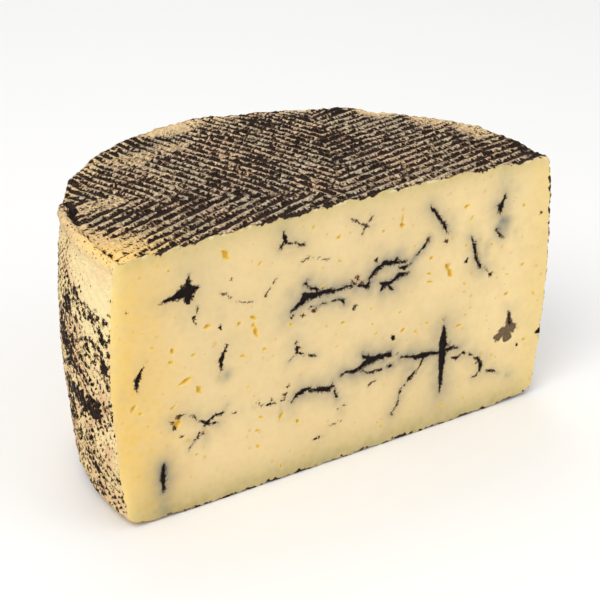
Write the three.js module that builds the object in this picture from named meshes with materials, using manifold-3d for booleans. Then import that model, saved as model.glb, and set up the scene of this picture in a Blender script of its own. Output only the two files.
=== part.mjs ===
// Half of a pressed sheep's-milk cheese wheel, cut upright with a long knife a little in front of its middle.
//
// The whole wheel is a solid of revolution: a barrel-shaped side that bulged under its own weight, a slightly
// domed top, a flat base that curls up towards the rim, and rounded rims. One straight cut takes the front off,
// so the piece left is a little more than half a wheel, one solid of paste and its natural rind.
//
// Frame: millimetres, +Z up, +X along the cut, +Y from the cut face towards the round back.
// Origin: the middle of the piece's bounding box, at the height of the surface it stands on.

import * as THREE from 'three';
import { mergeVertices } from 'three/addons/utils/BufferGeometryUtils.js';
import Module from 'manifold-3d';

// Driving dimensions.
const WHEEL_RADIUS = 98; // at the widest, half way up the side
const RIM_HEIGHT = 104; // from the surface the wheel stands on to the top rim
const SIDE_BULGE = 3.6; // how much less the radius is at the rims than half way up
const TOP_DOME = 2.4; // how much higher the top is in its middle than at the rim
const TOP_RIM_ROUNDING = 3.5;
const BASE_RIM_ROUNDING = 6;
const BASE_CURL = 1.5; // how far the base has lifted where it meets the rounding
const BASE_FLAT_RADIUS = 64; // the base is flat inside this radius
const CUT_IN_FRONT_OF_AXIS = 15.5; // from the wheel's axis to the knife's plane

// How finely the round shapes are divided.
const TURN_STEPS = 88; // steps round the wheel
const SIDE_STEPS = 10;
const ROUNDING_STEPS = 5;
const TOP_STEPS = 6;
const CURL_STEPS = 3;

// How far past the wheel the cutting block reaches.
const CUT_CLEARANCE = 20;

const wasm = await Module();
wasm.setup();

// The side's radius at a height: a parabola, widest half way up.
function sideRadius(height) {
  const fromMiddle = (2 * (height - BASE_CURL)) / (RIM_HEIGHT - BASE_CURL) - 1;
  return WHEEL_RADIUS - SIDE_BULGE * fromMiddle ** 2;
}

// A quarter round from one direction to the other, as [radius, height] points round a centre.
function quarterRound(centre, rounding, fromAngle, toAngle) {
  const points = [];
  for (let i = 0; i <= ROUNDING_STEPS; i++) {
    const angle = fromAngle + ((toAngle - fromAngle) * i) / ROUNDING_STEPS;
    points.push([centre[0] + rounding * Math.cos(angle), centre[1] + rounding * Math.sin(angle)]);
  }
  return points;
}

// The wheel's outline from the middle of its base, round the side, to the middle of its top.
function wheelOutline() {
  const baseCentre = [
    sideRadius(BASE_CURL + BASE_RIM_ROUNDING) - BASE_RIM_ROUNDING,
    BASE_CURL + BASE_RIM_ROUNDING,
  ];
  const topCentre = [
    sideRadius(RIM_HEIGHT - TOP_RIM_ROUNDING) - TOP_RIM_ROUNDING,
    RIM_HEIGHT - TOP_RIM_ROUNDING,
  ];
  const outline = [[0, 0]];
  for (let i = 0; i < CURL_STEPS; i++) {
    const share = i / CURL_STEPS;
    const radius = BASE_FLAT_RADIUS + (baseCentre[0] - BASE_FLAT_RADIUS) * share;
    outline.push([radius, BASE_CURL * share ** 2]);
  }
  outline.push(...quarterRound(baseCentre, BASE_RIM_ROUNDING, -Math.PI / 2, 0));
  for (let i = 1; i < SIDE_STEPS; i++) {
    const height = baseCentre[1] + ((topCentre[1] - baseCentre[1]) * i) / SIDE_STEPS;
    outline.push([sideRadius(height), height]);
  }
  outline.push(...quarterRound(topCentre, TOP_RIM_ROUNDING, 0, Math.PI / 2));
  for (let i = 1; i <= TOP_STEPS; i++) {
    const share = 1 - i / TOP_STEPS;
    outline.push([topCentre[0] * share, RIM_HEIGHT + TOP_DOME * (1 - share ** 2)]);
  }
  return outline.map(([radius, height]) => new THREE.Vector2(radius, height));
}

// The whole wheel, standing on z = 0 with its axis on Z.
function wheelGeometry() {
  const geometry = new THREE.LatheGeometry(wheelOutline(), TURN_STEPS);
  geometry.rotateX(Math.PI / 2);
  return geometry;
}

// A closed three.js geometry as a manifold-3d solid.
function solidFrom(geometry) {
  const bare = new THREE.BufferGeometry();
  bare.setAttribute('position', geometry.attributes.position);
  bare.setIndex(geometry.index);
  const merged = mergeVertices(bare, 1e-4);
  const corners = [];
  for (let i = 0; i < merged.index.count; i += 3) {
    const [a, b, c] = [0, 1, 2].map((k) => merged.index.getX(i + k));
    if (a !== b && b !== c && c !== a) corners.push(a, b, c);
  }
  return new wasm.Manifold(
    new wasm.Mesh({
      numProp: 3,
      vertProperties: merged.attributes.position.array,
      triVerts: new Uint32Array(corners),
    }),
  );
}

// A manifold-3d solid as a three.js geometry.
function geometryFrom(solid) {
  const mesh = solid.getMesh();
  const geometry = new THREE.BufferGeometry();
  geometry.setAttribute('position', new THREE.BufferAttribute(mesh.vertProperties, 3));
  geometry.setIndex(new THREE.BufferAttribute(mesh.triVerts, 1));
  geometry.computeVertexNormals();
  return geometry;
}

// The block of cheese in front of the knife's plane, which the cut takes away.
function partCutAway() {
  const width = 2 * (WHEEL_RADIUS + CUT_CLEARANCE);
  const depth = WHEEL_RADIUS + CUT_CLEARANCE;
  const height = RIM_HEIGHT + 2 * CUT_CLEARANCE;
  const block = new THREE.BoxGeometry(width, depth, height);
  block.translate(0, -CUT_IN_FRONT_OF_AXIS - depth / 2, RIM_HEIGHT / 2);
  return block;
}

const halfWheel = new THREE.Mesh(
  geometryFrom(solidFrom(wheelGeometry()).subtract(solidFrom(partCutAway()))),
  new THREE.MeshStandardMaterial({ color: 0xecd49c, roughness: 0.6, metalness: 0 }),
);
halfWheel.name = 'cheese_half_wheel';
// The piece reaches CUT_IN_FRONT_OF_AXIS in front of the wheel's axis and a whole radius behind it, so this
// puts the origin in the middle of its depth.
halfWheel.position.y = (CUT_IN_FRONT_OF_AXIS - WHEEL_RADIUS) / 2;

const cheese = new THREE.Group();
cheese.add(halfWheel);

export default cheese;
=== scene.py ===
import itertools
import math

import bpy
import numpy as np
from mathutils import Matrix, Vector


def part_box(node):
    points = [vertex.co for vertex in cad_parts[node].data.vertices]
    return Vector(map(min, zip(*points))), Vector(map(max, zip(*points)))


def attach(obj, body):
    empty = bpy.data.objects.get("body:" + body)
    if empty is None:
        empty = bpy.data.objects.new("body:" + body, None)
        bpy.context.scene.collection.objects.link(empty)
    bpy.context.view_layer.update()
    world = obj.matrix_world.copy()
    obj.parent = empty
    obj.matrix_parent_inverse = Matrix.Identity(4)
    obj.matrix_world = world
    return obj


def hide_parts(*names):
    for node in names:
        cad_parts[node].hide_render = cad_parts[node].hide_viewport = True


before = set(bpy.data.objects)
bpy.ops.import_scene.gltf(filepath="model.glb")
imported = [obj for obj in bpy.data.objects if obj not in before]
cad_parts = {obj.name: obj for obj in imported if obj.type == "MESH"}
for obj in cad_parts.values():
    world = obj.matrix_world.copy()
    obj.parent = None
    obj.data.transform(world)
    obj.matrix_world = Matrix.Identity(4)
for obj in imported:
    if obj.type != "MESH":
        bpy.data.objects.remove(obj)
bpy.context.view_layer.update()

# The looks of half a pressed cheese wheel: one closed mesh whose rind carries the print of the boards and the
# plaited band it was pressed in, and whose cut face shows dark veins, stains and small eyes in a pale paste.
#
# Lengths are millimetres in the CAD part's frame until the mesh is made, which is in metres. Places on the
# cut face are (across, up): across from the wheel's axis, up from the lower rim. Places on the top are
# (across, behind): behind the cut. Places on the side are (round, up): round from the left end of the cut.

MM = 0.001

# ---------------------------------------------------------------------------------------------------------
# The piece's size, from the frame, and what the frame's box doesn't say.

NODE = "cheese_half_wheel"
node_low, node_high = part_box(NODE)
WHEEL_RADIUS = (node_high.x - node_low.x) / MM / 2
CUT_Y = node_low.y / MM
AXIS_Y = node_high.y / MM - WHEEL_RADIUS
AXIS_BEHIND_CUT = AXIS_Y - CUT_Y
TOP_HEIGHT = node_high.z / MM

TOP_DOME = 2.4
RIM_HEIGHT = TOP_HEIGHT - TOP_DOME
SIDE_BULGE = 3.6
BASE_CURL = 1.5
BASE_FLAT_RADIUS = 64.0
TOP_RIM_ROUNDING = 2.1
BASE_RIM_ROUNDING = 6.0
LOWER_RIM = 1.8  # the height that places on the cut face are measured from

# How finely the mesh is divided: cells along the cut, from the cut to the back, and up the side.
ALONG_CUT, TO_BACK, UP_SIDE = ((400, 210, 256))
ROUND_RIND = ALONG_CUT + 2 * TO_BACK


# ---------------------------------------------------------------------------------------------------------
# Numbers and noise.

def smooth_step(low, high, value):
    share = np.clip((value - low) / (high - low), 0, 1)
    return share * share * (3 - 2 * share)


def mix(a, b, share):
    return a + (b - a) * share


def linear(red, green, blue):
    """An everyday 0 to 255 colour as the linear numbers that light adds up in."""
    return np.array([(c / 255 / 12.92) if c < 10 else ((c / 255 + 0.055) / 1.055) ** 2.4
                     for c in (red, green, blue)])


# Large odd numbers that scramble a place's whole-numbered corner, and the bits of the result that are kept.
SCRAMBLE_CELL = (374761393, 668265263, 1440662683)
SCRAMBLE_SEED, SCRAMBLE_AGAIN = 974634777, 1274126177
KEPT_BITS = 0xFFFFFF


def corner_numbers(cell, seed):
    """A number from 0 to 1 for each whole-numbered corner of space, the same on every run."""
    mixed = (cell * SCRAMBLE_CELL).sum(-1) + seed * SCRAMBLE_SEED
    mixed = (mixed ^ (mixed >> 13)) * SCRAMBLE_AGAIN
    return ((mixed ^ (mixed >> 16)) & KEPT_BITS) / KEPT_BITS


def noise(points, size, seed):
    """Smooth noise from -1 to 1. Its lumps are about size across: one number, or one for each direction."""
    place = points / size
    cell = np.floor(place).astype(np.int64)
    inside = place - cell
    share = inside**3 * (inside * (inside * 6 - 15) + 10)
    total = np.zeros(len(points))
    for corner in itertools.product((0, 1), repeat=3):
        weight = np.where(corner, share, 1 - share).prod(-1)
        total += weight * corner_numbers(cell + corner, seed)
    return 2 * total - 1


def rough_noise(points, size, seed, octaves=3):
    """Noise with finer noise on it, from about -1 to 1."""
    total = np.zeros(len(points))
    for octave in range(octaves):
        turned = points @ TURN_NOISE[octave % len(TURN_NOISE)]
        total += noise(turned, size / 2**octave, seed + octave) / 2**octave
    return total / 1.4


def turned_axes(degrees_about_z, degrees_about_x):
    z, x = math.radians(degrees_about_z), math.radians(degrees_about_x)
    about_z = np.array([[math.cos(z), -math.sin(z), 0], [math.sin(z), math.cos(z), 0], [0, 0, 1]])
    about_x = np.array([[1, 0, 0], [0, math.cos(x), -math.sin(x)], [0, math.sin(x), math.cos(x)]])
    return about_z @ about_x


# Each finer noise is turned another way, so that no grid shows.
TURN_NOISE = [turned_axes(31, 17), turned_axes(67, 52), turned_axes(118, 34)]


# ---------------------------------------------------------------------------------------------------------
# The smooth shape: a wheel's rind, its top and base, and the cut face, in one mesh.

def side_radius(height):
    from_middle = 2 * (height - BASE_CURL) / (RIM_HEIGHT - BASE_CURL) - 1
    return WHEEL_RADIUS - SIDE_BULGE * from_middle**2


ARC_POINTS, SIDE_POINTS = 40, 80
RIM_MEETS_SIDE = 0.88  # a rim's arc meets the side after this share of its own rounding


def rim_arc(height, rounding, first, last):
    """The rounded rim that meets the side at this height, turning from first to last degrees."""
    meets = math.radians(first if abs(first) < abs(last) else last)
    meeting_point = np.array([side_radius(height), height])
    centre = meeting_point - rounding * np.array([math.cos(meets), math.sin(meets)])
    angles = np.radians(np.linspace(first, last, ARC_POINTS))
    return centre + rounding * np.stack([np.cos(angles), np.sin(angles)], -1)


def rind_profile():
    """The rind's outline, from the base up the side and over the top rim.

    It gives evenly spaced points as (radius, height), and how far along the outline each is."""
    tilt = math.degrees(math.atan(4 * SIDE_BULGE / (RIM_HEIGHT - BASE_CURL)))
    lower = rim_arc(BASE_CURL + BASE_RIM_ROUNDING * RIM_MEETS_SIDE, BASE_RIM_ROUNDING, -90, -tilt)
    upper = rim_arc(RIM_HEIGHT - TOP_RIM_ROUNDING * RIM_MEETS_SIDE, TOP_RIM_ROUNDING, tilt, 90)
    heights = np.linspace(lower[-1, 1], upper[0, 1], SIDE_POINTS)[1:-1]
    outline = np.concatenate([lower, np.stack([side_radius(heights), heights], -1), upper])
    run = np.concatenate([[0], np.cumsum(np.linalg.norm(np.diff(outline, axis=0), axis=1))])
    even = np.linspace(0, run[-1], UP_SIDE + 1)
    return np.stack([np.interp(even, run, outline[:, k]) for k in (0, 1)], -1), even


PROFILE, PROFILE_RUN = rind_profile()
BASE_RING_RADIUS, TOP_RING_RADIUS = PROFILE[0, 0], PROFILE[-1, 0]


def profile_facing():
    """The direction the outline faces at each of its points, as (outward, up)."""
    along = np.gradient(PROFILE, axis=0)
    facing = np.stack([along[:, 1], -along[:, 0]], -1)
    return facing / np.linalg.norm(facing, axis=1, keepdims=True)


def dome_height(radius):
    return RIM_HEIGHT + TOP_DOME * (1 - (radius / TOP_RING_RADIUS) ** 2)


def base_height(radius):
    out = np.clip((radius - BASE_FLAT_RADIUS) / (BASE_RING_RADIUS - BASE_FLAT_RADIUS), 0, 1)
    return PROFILE[0, 1] * out**2


def rind_grid():
    """The rind's side, by column round it from the left end of the cut and by row up it."""
    share = np.linspace(0, 1, ROUND_RIND + 1)[:, None]
    radius, height = PROFILE[None, :, 0], PROFILE[None, :, 1]
    past_side = np.arcsin(AXIS_BEHIND_CUT / radius)
    angle = mix(math.pi + past_side, -past_side, share)
    place = np.stack([radius * np.cos(angle), AXIS_Y + radius * np.sin(angle), height + 0 * angle], -1)
    outward, up = profile_facing().T
    facing = np.stack([outward * np.cos(angle), outward * np.sin(angle), up + 0 * angle], -1)
    return place, facing, angle


def fill_between(near, far, left, right):
    """A grid between four edges that meet at its corners: the Coons patch."""
    u = np.linspace(0, 1, len(near))[:, None, None]
    v = np.linspace(0, 1, len(left))[None, :, None]
    ruled = mix(near[:, None], far[:, None], v) + mix(left[None], right[None], u)
    corners = mix(mix(near[0], near[-1], u), mix(far[0], far[-1], u), v)
    return ruled - corners


def end_grid(ring, height_at, facing_up):
    """The top or base inside a ring of rind points, by column along the cut and by row towards the back."""
    half_cut = math.sqrt(np.hypot(ring[0, 0], ring[0, 1] - AXIS_Y) ** 2 - AXIS_BEHIND_CUT**2)
    across = np.linspace(-half_cut, half_cut, ALONG_CUT + 1)
    near = np.stack([across, np.full_like(across, CUT_Y)], -1)
    left, right = ring[: TO_BACK + 1, :2], ring[::-1][: TO_BACK + 1, :2]
    far = ring[TO_BACK : TO_BACK + ALONG_CUT + 1, :2]
    flat = fill_between(near, far, left, right)
    height = height_at(np.hypot(flat[..., 0], flat[..., 1] - AXIS_Y))
    place = np.concatenate([flat, height[..., None]], -1)
    facing = np.zeros_like(place)
    facing[..., 2] = facing_up
    return place, facing


class Numbering:
    """Which vertex of the mesh each cell corner of each grid is. Grids that meet share their vertices."""

    def __init__(self):
        columns, rows = ROUND_RIND + 1, UP_SIDE + 1
        self.side = np.arange(columns * rows).reshape(columns, rows)
        self.count = columns * rows
        self.top = self.end(self.side[:, -1])
        self.base = self.end(self.side[:, 0])
        self.rind_count = self.count
        self.face = self.fresh(ALONG_CUT + 1, UP_SIDE + 1)
        self.face[0], self.face[-1] = self.side[0], self.side[-1]
        self.face[:, 0], self.face[:, -1] = self.base[:, 0], self.top[:, 0]

    def fresh(self, columns, rows):
        """New vertices for the grid's inside. Its edges are filled in with those of its neighbours."""
        grid = np.full((columns, rows), -1)
        inside = (columns - 2) * (rows - 2)
        grid[1:-1, 1:-1] = np.arange(self.count, self.count + inside).reshape(columns - 2, rows - 2)
        self.count += inside
        return grid

    def end(self, ring):
        grid = self.fresh(ALONG_CUT + 1, TO_BACK + 1)
        grid[:, -1] = ring[TO_BACK : TO_BACK + ALONG_CUT + 1]
        grid[0], grid[-1] = ring[: TO_BACK + 1], ring[::-1][: TO_BACK + 1]
        grid[1:-1, 0] = np.arange(self.count, self.count + ALONG_CUT - 1)
        self.count += ALONG_CUT - 1
        return grid


# ---------------------------------------------------------------------------------------------------------
# The rind: what the boards and the plaited band printed in it, and where its dark coat is left.

# The board's print is in four quarters round the middle of the wheel. Each has ridges in its own direction.
PRINT_MIDDLE = (1.5, 4.5)
BACK_QUARTER = (64.0, 147.5)  # the directions that the quarter at the back lies between, in degrees
RIDGES_BACK = (104.5, 3.9)  # a quarter's ridges: their direction in degrees, and how far apart they are
RIDGES_LEFT = (18.0, 4.3)
RIDGES_RIGHT = (14.0, 4.15)
RIDGE_HEIGHT = 0.42
SEAM = (-0.7, 0.7)  # the quarters run into each other over this many millimetres on each side of their seam
TOP_PRINT_FADES = (5.5, 1.0)  # the board's print fades in between these distances from the side's top end
BASE_PRINT_FADES = (2.0, 9.0)  # and fades out between these distances up the side from the base
KNOT_SPACING = 1.7  # the grass cords of the board are knotted this often along a ridge

PLAIT_BAND = 17.0  # the plaited band round the side is in rows this high
PLAIT_LEANS = (-32.0, -58.0)  # how far the strands slant in one row, and in the next
PLAIT_STRAND = 3.9
PLAIT_KNOT = 2.1
PLAIT_HEIGHT = 0.20
FOLD_LENGTH = 59.0  # the folded lip of the rim runs this far round from the left end of the cut
FOLD_HEIGHT, FOLD_WIDTH, FOLD_BELOW_RIM = 2.4, 2.4, 2.6
CREASE_DEPTH, CREASE_WIDTH, CREASE_INSIDE_RIM = 2.3, 1.0, 1.5
CREASE_COAT, FOLD_BARE = 2.5, 0.5  # how much more coat the crease holds, and how much less the lip

ROUND_TO_RIGHT = WHEEL_RADIUS * (math.pi + 2 * math.asin(AXIS_BEHIND_CUT / WHEEL_RADIUS))

# Where the dark coat has rubbed off the top, or is thick. A blot is (across, behind, half width, half depth,
# amount), and takes coat away where its amount is under 0.
TOP_COAT = [
    (-88, 8, 15, 12, -0.68), (-93, 26, 9, 14, -0.5), (-76, 48, 10, 6, -0.7), (-80, 20, 12, 12, -0.22),
    (-66, 47, 10, 5, -0.3), (-43, 82, 12, 8, -0.65), (-24, 86, 8, 6, -0.6), (-17, 104, 9, 8, -0.95),
    (-8, 104, 9, 5, -0.6), (78, 58, 8, 9, -0.85), (87, 38, 7, 10, -0.6), (68, 77, 8, 7, -0.75),
    (92, 12, 7, 12, 0.45), (54, 90, 11, 8, 0.6), (-36, 98, 5, 7, 0.5), (-22, 98, 3, 10, 0.4),
    (-84.6, 50, 1.8, 4, 0.8), (-88.2, 40, 1.8, 5, 0.8), (-91, 30.5, 1.6, 4, 0.7),
    (-50, 30, 22, 10, 0.2), (10, 109, 12, 3, 0.35), (9, 100, 12, 5, -0.22), (73, 66, 4, 3, 0.5),
    (-58, 55, 14, 6, 0.15), (30, 62, 16, 10, 0.15), (-42, 68, 8, 6, -0.12), (54, 64, 14, 8, -0.2),
    (46, 0, 44, 4.5, -0.3), (-40, 40, 14, 8, -0.1),
]
# The same on the side, as (round, up, half length, half height, amount): first where the camera sees it.
SIDE_COAT = [
    (14, 95, 20, 9, -0.8), (12, 86, 7, 4, -0.3), (38, 70, 6, 13, 0.4), (33, 59, 6, 5, 0.5),
    (42, 62, 5, 8, 0.5), (32, 78, 4, 4, 0.7), (7, 80.5, 4.5, 4.5, 0.45), (3.5, 75.5, 2.5, 2.5, 0.55),
    (3.5, 66, 2.6, 4, 0.8), (13, 69, 7, 5, 0.35), (20, 56, 7, 3, 0.3), (25, 44, 9, 4, 0.9),
    (13, 45, 5, 4.5, 0.9), (38, 43, 8, 5, 0.6), (8.5, 41, 2.5, 2, 0.6), (21.5, 21.5, 3, 3, 0.7),
    (15.5, 20, 3, 2.6, 0.7), (16, 10, 2.6, 3.6, 0.75), (7.5, 6.5, 2.6, 2, 0.6), (6, 32, 8, 6, -0.35),
    (6, 55, 5, 4, -0.25), (24, 84, 6, 5, 0.2), (15, 82, 5, 3, 0.3), (38, 33, 6, 6, 0.65),
    (28, 58, 6, 4, 0.25), (ROUND_TO_RIGHT, 55, 4, 50, 0.2),
    (52, 28, 12, 5, 0.6), (68, 20, 10, 5, 0.6), (60, 50, 10, 8, 0.3),
    (120, 60, 26, 12, 0.4), (150, 30, 20, 8, 0.5), (190, 72, 24, 10, 0.4), (232, 40, 24, 12, 0.45),
    (268, 78, 16, 8, 0.5), (300, 28, 18, 8, 0.5), (90, 82, 16, 8, 0.4), (96, 24, 14, 8, 0.4),
]
BLOT_EDGE = (0.55, 1.25)  # a blot fades between these shares of its size

TOP_COVER, SIDE_COVER = 0.21, -0.12  # how far the coat covers the top and the side, before blots and patches
WORN_RIM = 4.5  # the coat is worn, and the print faint, about this far to each side of the top's rim
BARE_CORNER = (-92, 0)  # the top's corner at the left end of the cut, which is yellow and bare
# A painted highlight: the side is painted palest at this place, under the lip, where the key light falls on
# its upper left.
PAINTED_HIGHLIGHT_SPOT, PAINTED_HIGHLIGHT_HALF_SIZE = (8, 88), (22, 16)  # the palest place on the side, under the lip, and its half sizes


def blots(places, across, along):
    """The sum of soft-edged blots at these places."""
    total = np.zeros(len(across))
    for centre_across, centre_along, half_across, half_along, amount in places:
        out = np.hypot((across - centre_across) / half_across, (along - centre_along) / half_along)
        total += amount * (1 - smooth_step(*BLOT_EDGE, out))
    return total


def soft_spot(across, along, centre, half_size):
    """1 at the centre of one soft round spot, easing to 0 outside it."""
    return np.exp(-np.hypot((across - centre[0]) / half_size[0], (along - centre[1]) / half_size[1]) ** 2)


def tinted(colour, towards, share):
    """Each vertex's colour, moved by its own share towards one other colour."""
    return mix(colour, linear(*towards), share[:, None])


def ridges(across, along, direction, spacing, wobble):
    """A quarter's ridges, from 0 in the grooves to 1 on the ridges, and its knots, from -1 to 1."""
    angle = math.radians(direction)
    over = -across * math.sin(angle) + along * math.cos(angle)
    down = across * math.cos(angle) + along * math.sin(angle)
    turns = over / spacing + wobble
    ridge = (0.5 + 0.5 * np.cos(2 * math.pi * turns)) ** 2
    uneven = 0.7 * np.sin(7.3 * np.floor(turns + 0.5)) + 3.0 * wobble
    knot = np.cos(2 * math.pi * (down / KNOT_SPACING + 0.5 * turns + uneven))
    return ridge, knot


def board_print(across, behind, points):
    """The print of the herringbone board, over the whole top or base: its ridges and its knots."""
    wobble = 0.15 * rough_noise(points, 14.0, 11, 2) + 0.10 * noise(points, 3.0, 15)
    across, behind = across - PRINT_MIDDLE[0], behind - PRINT_MIDDLE[1]
    angles = np.radians(BACK_QUARTER)
    past_right = -across * math.sin(angles[0]) + behind * math.cos(angles[0])
    past_left = across * math.sin(angles[1]) - behind * math.cos(angles[1])
    ragged = 0.9 * noise(points, 4.0, 21)
    back = smooth_step(*SEAM, past_right + ragged) * smooth_step(*SEAM, past_left + ragged)
    at_back, at_left, at_right = [
        np.stack(ridges(across, behind, *quarter, wobble))
        for quarter in (RIDGES_BACK, RIDGES_LEFT, RIDGES_RIGHT)
    ]
    return mix(mix(at_left, at_right, smooth_step(*SEAM, past_left)), at_back, back)


def plait_print(round_rind, up, points):
    """The print of the plaited band on the side: its strands, its knots and the joins between its rows."""
    wobble = 0.30 * rough_noise(points, 16.0, 31, 2) + 0.14 * noise(points, 4.0, 36)
    rows = (up + 1.2 * noise(points, 22.0, 41)) / PLAIT_BAND + 0.12
    row = np.floor(rows)
    in_row = rows - row
    lean = np.radians(np.where(row % 2 == 0, *PLAIT_LEANS))
    over = round_rind * np.cos(lean) + up * np.sin(lean)
    down = -round_rind * np.sin(lean) + up * np.cos(lean)
    strand = 0.5 + 0.5 * np.cos(2 * math.pi * (over / PLAIT_STRAND + wobble))
    knot = np.cos(2 * math.pi * (down / PLAIT_KNOT + 1.5 * wobble))
    join = 1 - smooth_step(0.0, 0.09, np.minimum(in_row, 1 - in_row))
    return strand, knot, join


class Rind:
    """Every vertex of the rind: where it is, which way it faces, its relief, its coat and its colour."""

    def __init__(self, numbering):
        self.place = np.zeros((numbering.rind_count, 3))
        self.facing = np.zeros_like(self.place)
        side, facing, angle = rind_grid()
        ring = numbering.side
        for grid, (place, faces) in (
            (numbering.top, end_grid(side[:, -1], dome_height, 1)),
            (numbering.base, end_grid(side[:, 0], base_height, -1)),
            (ring, (side, facing)),
        ):
            self.place[grid] = place
            self.facing[grid] = faces
        self.up = self.place[:, 2]
        self.across = self.place[:, 0]
        self.behind = self.place[:, 1] - CUT_Y
        around = np.arctan2(self.place[:, 1] - AXIS_Y, self.place[:, 0])
        around = np.where(around < -math.pi / 2, around + 2 * math.pi, around)
        first = math.pi + math.asin(AXIS_BEHIND_CUT / WHEEL_RADIUS)
        self.round = (first - around) * WHEEL_RADIUS
        self.on_top = np.zeros(len(self.up))
        self.on_top[numbering.top] = 1
        starts, full = (PROFILE_RUN[-1] - distance for distance in TOP_PRINT_FADES)
        self.on_top[ring] = smooth_step(starts, full, PROFILE_RUN)
        self.on_base = np.zeros(len(self.up))
        self.on_base[numbering.base] = 1
        self.on_base[ring] = 1 - smooth_step(*BASE_PRINT_FADES, PROFILE_RUN)
        self.on_side = 1 - self.on_top - self.on_base
        # How far in from the top's rim each vertex is. On the side it is under 0.
        self.past_rim = TOP_RING_RADIUS - np.hypot(self.across, self.place[:, 1] - AXIS_Y)
        self.past_rim[ring] = PROFILE_RUN - PROFILE_RUN[-1]
        self.make()

    def make(self):
        points = self.place
        self.ends = self.on_top + self.on_base
        self.near_rim = np.exp(-(self.past_rim / WORN_RIM) ** 2)
        self.above_middle = self.up > RIM_HEIGHT / 2
        # Where the highlight is painted on the side's upper left.
        self.pale = soft_spot(self.round, self.up, PAINTED_HIGHLIGHT_SPOT, PAINTED_HIGHLIGHT_HALF_SIZE)
        self.grain = rough_noise(points, 2.2, 51, 3)
        self.crumbs = noise(points, 1.25, 57)
        self.patches = rough_noise(points, 26.0, 61, 3)
        board = board_print(self.across, self.behind, points)
        plait = plait_print(self.round, self.up, points)
        fold, crease = self.folded_rim(points)
        self.make_coat(points, board, plait, fold, crease)
        self.make_relief(points, board, plait, fold, crease)
        self.colour = self.colours(points)
        corner = soft_spot(self.across, self.behind, BARE_CORNER, (22, 20))
        self.dust = mix(0.15, 0.95 - 0.7 * corner - 0.55 * self.near_rim, self.ends)
        # Wear, held back at the bare corner and under the painted highlight on the side, where there is less
        # rust, pepper and roughness.
        self.wear_cleared_in_highlight = 1 - 0.85 * np.maximum(self.pale * self.on_side, 0.25 * corner)

    def make_coat(self, points, board, plait, fold, crease):
        """The dark coat, which shows where it is over 0: most in the grooves, and where its cover is high."""
        top_cover = TOP_COVER + 0.17 * self.patches + blots(TOP_COAT, self.across, self.behind)
        top_cover -= 0.55 * self.near_rim * (0.5 + 1.3 * noise(points, 9.0, 66))
        side_cover = SIDE_COVER + 0.26 * self.patches + blots(SIDE_COAT, self.round, self.up)
        side_cover -= 0.10 * (1 - smooth_step(34, 48, self.up))
        side_cover -= 0.30 * smooth_step(86, 98, self.up)
        self.cover = mix(side_cover, top_cover, self.ends)

        ridge, board_knot = board
        uneven = 0.85 + 0.35 * noise(points, 6.0, 53)
        top_dark = top_cover + 1.16 * (0.375 - ridge * uneven) + 0.14 * board_knot
        top_dark += 0.42 * self.grain + 0.48 * self.crumbs
        strand, plait_knot, _ = plait
        beads = (1 - strand) * (0.5 + 0.5 * plait_knot)
        pressed = smooth_step(-0.35, 0.45, rough_noise(points, 12.0, 59, 2))
        side_dark = side_cover + mix(0.34 * (0.5 - strand), 1.2 * (beads - 0.25), pressed)
        side_dark += 0.50 * self.grain + 0.36 * self.crumbs
        self.coat = mix(side_dark, top_dark, self.ends) + CREASE_COAT * crease - FOLD_BARE * fold

    def make_relief(self, points, board, plait, fold, crease):
        """How far each vertex is moved out along its facing, and how far it is lifted besides."""
        lumps = rough_noise(points, 20.0, 71, 2)
        ridge, board_knot = board
        top_relief = RIDGE_HEIGHT * (2 * ridge - 1) + 0.08 * board_knot * (1 - ridge) + 0.22 * lumps
        strand, plait_knot, join = plait
        side_relief = PLAIT_HEIGHT * (2 * strand - 1) * smooth_step(-1.0, 0.3, self.patches)
        side_relief += 0.07 * plait_knot - 0.55 * join + 0.75 * lumps
        side_relief += mix(-0.7, 0.2, smooth_step(20, 75, self.up))
        relief = mix(side_relief, top_relief, self.ends) * (1 - 0.6 * self.near_rim)
        relief += 1.1 * self.near_rim * rough_noise(points, 13.0, 81, 2)
        relief += FOLD_HEIGHT * fold - CREASE_DEPTH * crease
        relief += 0.16 * self.grain + 0.10 * self.crumbs + 0.12 * smooth_step(-0.1, 0.3, self.coat)
        lowered = 0.5 * relief - 0.3 - 0.35 * smooth_step(0.0, 0.6, noise(points, 2.0, 93))
        self.relief = mix(relief, np.minimum(lowered, 0), self.on_base)

        square_rim = np.exp(-((self.past_rim + 2) / 4.5) ** 2) * self.above_middle
        left_half = 1 - smooth_step(-5, 25, self.across)
        self.lift = square_rim * (0.9 + 0.5 * noise(points, 15.0, 83)) * left_half + FOLD_HEIGHT * fold

    def folded_rim(self, points):
        """The lip at the left, where paste was pressed over the rim of its mould, and the crease inside it.

        The crease ends in a notch, just past the lip's far end."""
        sway = noise(points, 9.0, 85)
        length = 1 - smooth_step(FOLD_LENGTH - 3, FOLD_LENGTH, self.round)
        length = length * smooth_step(-8, 16, self.round) * self.above_middle
        lumpy = 0.75 + 0.5 * noise(points, 6.0, 88) + 0.25 * noise(points, 2.5, 89)
        from_fold = self.past_rim + FOLD_BELOW_RIM + 0.56 * sway
        from_crease = self.past_rim - CREASE_INSIDE_RIM + 0.7 * sway
        fold = length * lumpy * np.exp(-(from_fold / FOLD_WIDTH) ** 2)
        crease = length * np.exp(-(from_crease / CREASE_WIDTH) ** 2)
        crease = crease * smooth_step(-1.0, 0.0, noise(points, 5.0, 87))
        notch = soft_spot(self.round, self.past_rim, (FOLD_LENGTH + 1, -4), (1.5, 5.0))
        return fold, crease + notch * self.above_middle

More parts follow.
